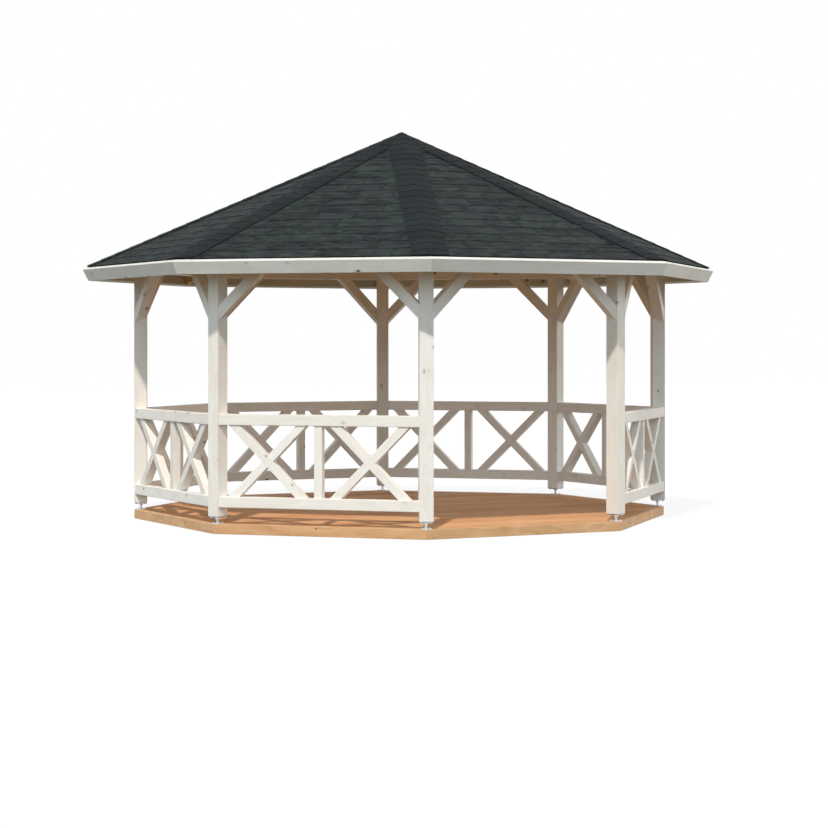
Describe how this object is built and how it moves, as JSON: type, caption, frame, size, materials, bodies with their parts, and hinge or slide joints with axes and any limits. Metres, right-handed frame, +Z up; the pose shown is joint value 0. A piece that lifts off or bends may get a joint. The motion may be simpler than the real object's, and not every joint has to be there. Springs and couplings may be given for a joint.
{
  "type": "garden gazebo",
  "caption": "Octagonal open timber garden gazebo on a raised deck, with crossed balustrades, knee-braced posts, an open entrance bay and a shingled pyramid roof.",
  "frame": {"origin": "on the ground under the centre of the deck", "axes": "+Z up; the open entrance bay faces -Y; +X is to the right of someone who faces the entrance from outside"},
  "size_m": [5.57, 5.57, 3.6654],
  "materials": {
    "white_stained_spruce": "planed spruce under a thin white stain, with small knots",
    "natural_spruce": "planed, untreated",
    "brown_deck_timber": "planed, brown impregnated",
    "bitumen_shingle": "black mineral granules",
    "galvanised_steel": "zinc plated"
  },
  "bodies": {
    "root": {"post_right_back": "white_stained_spruce", "post_back_right": "white_stained_spruce", "post_back_left": "white_stained_spruce", "post_left_back": "white_stained_spruce", "post_left_front": "white_stained_spruce", "post_front_left": "white_stained_spruce", "post_front_right": "white_stained_spruce", "post_right_front": "white_stained_spruce", "beam_right": "white_stained_spruce", "beam_back_right": "white_stained_spruce", "beam_back": "white_stained_spruce", "beam_back_left": "white_stained_spruce", "beam_left": "white_stained_spruce", "beam_front_left": "white_stained_spruce", "beam_front": "white_stained_spruce", "beam_front_right": "white_stained_spruce", "balustrade_right": "white_stained_spruce", "balustrade_back_right": "white_stained_spruce", "balustrade_back": "white_stained_spruce", "balustrade_back_left": "white_stained_spruce", "balustrade_left": "white_stained_spruce", "balustrade_front_left": "white_stained_spruce", "balustrade_front_right": "white_stained_spruce", "roof_boards_right": "natural_spruce", "roof_boards_back_right": "natural_spruce", "roof_boards_back": "natural_spruce", "roof_boards_back_left": "natural_spruce", "roof_boards_left": "natural_spruce", "roof_boards_front_left": "natural_spruce", "roof_boards_front": "natural_spruce", "roof_boards_front_right": "natural_spruce", "post_feet": "galvanised_steel", "knee_braces": "white_stained_spruce", "hip_rafters": "natural_spruce", "roof_hub": "natural_spruce", "fascia_boards": "white_stained_spruce", "roof_shingles": "bitumen_shingle", "hip_caps": "bitumen_shingle", "deck_boards": "brown_deck_timber", "deck_joists": "brown_deck_timber", "deck_rim_boards": "brown_deck_timber"}
  },
  "joints": []
}
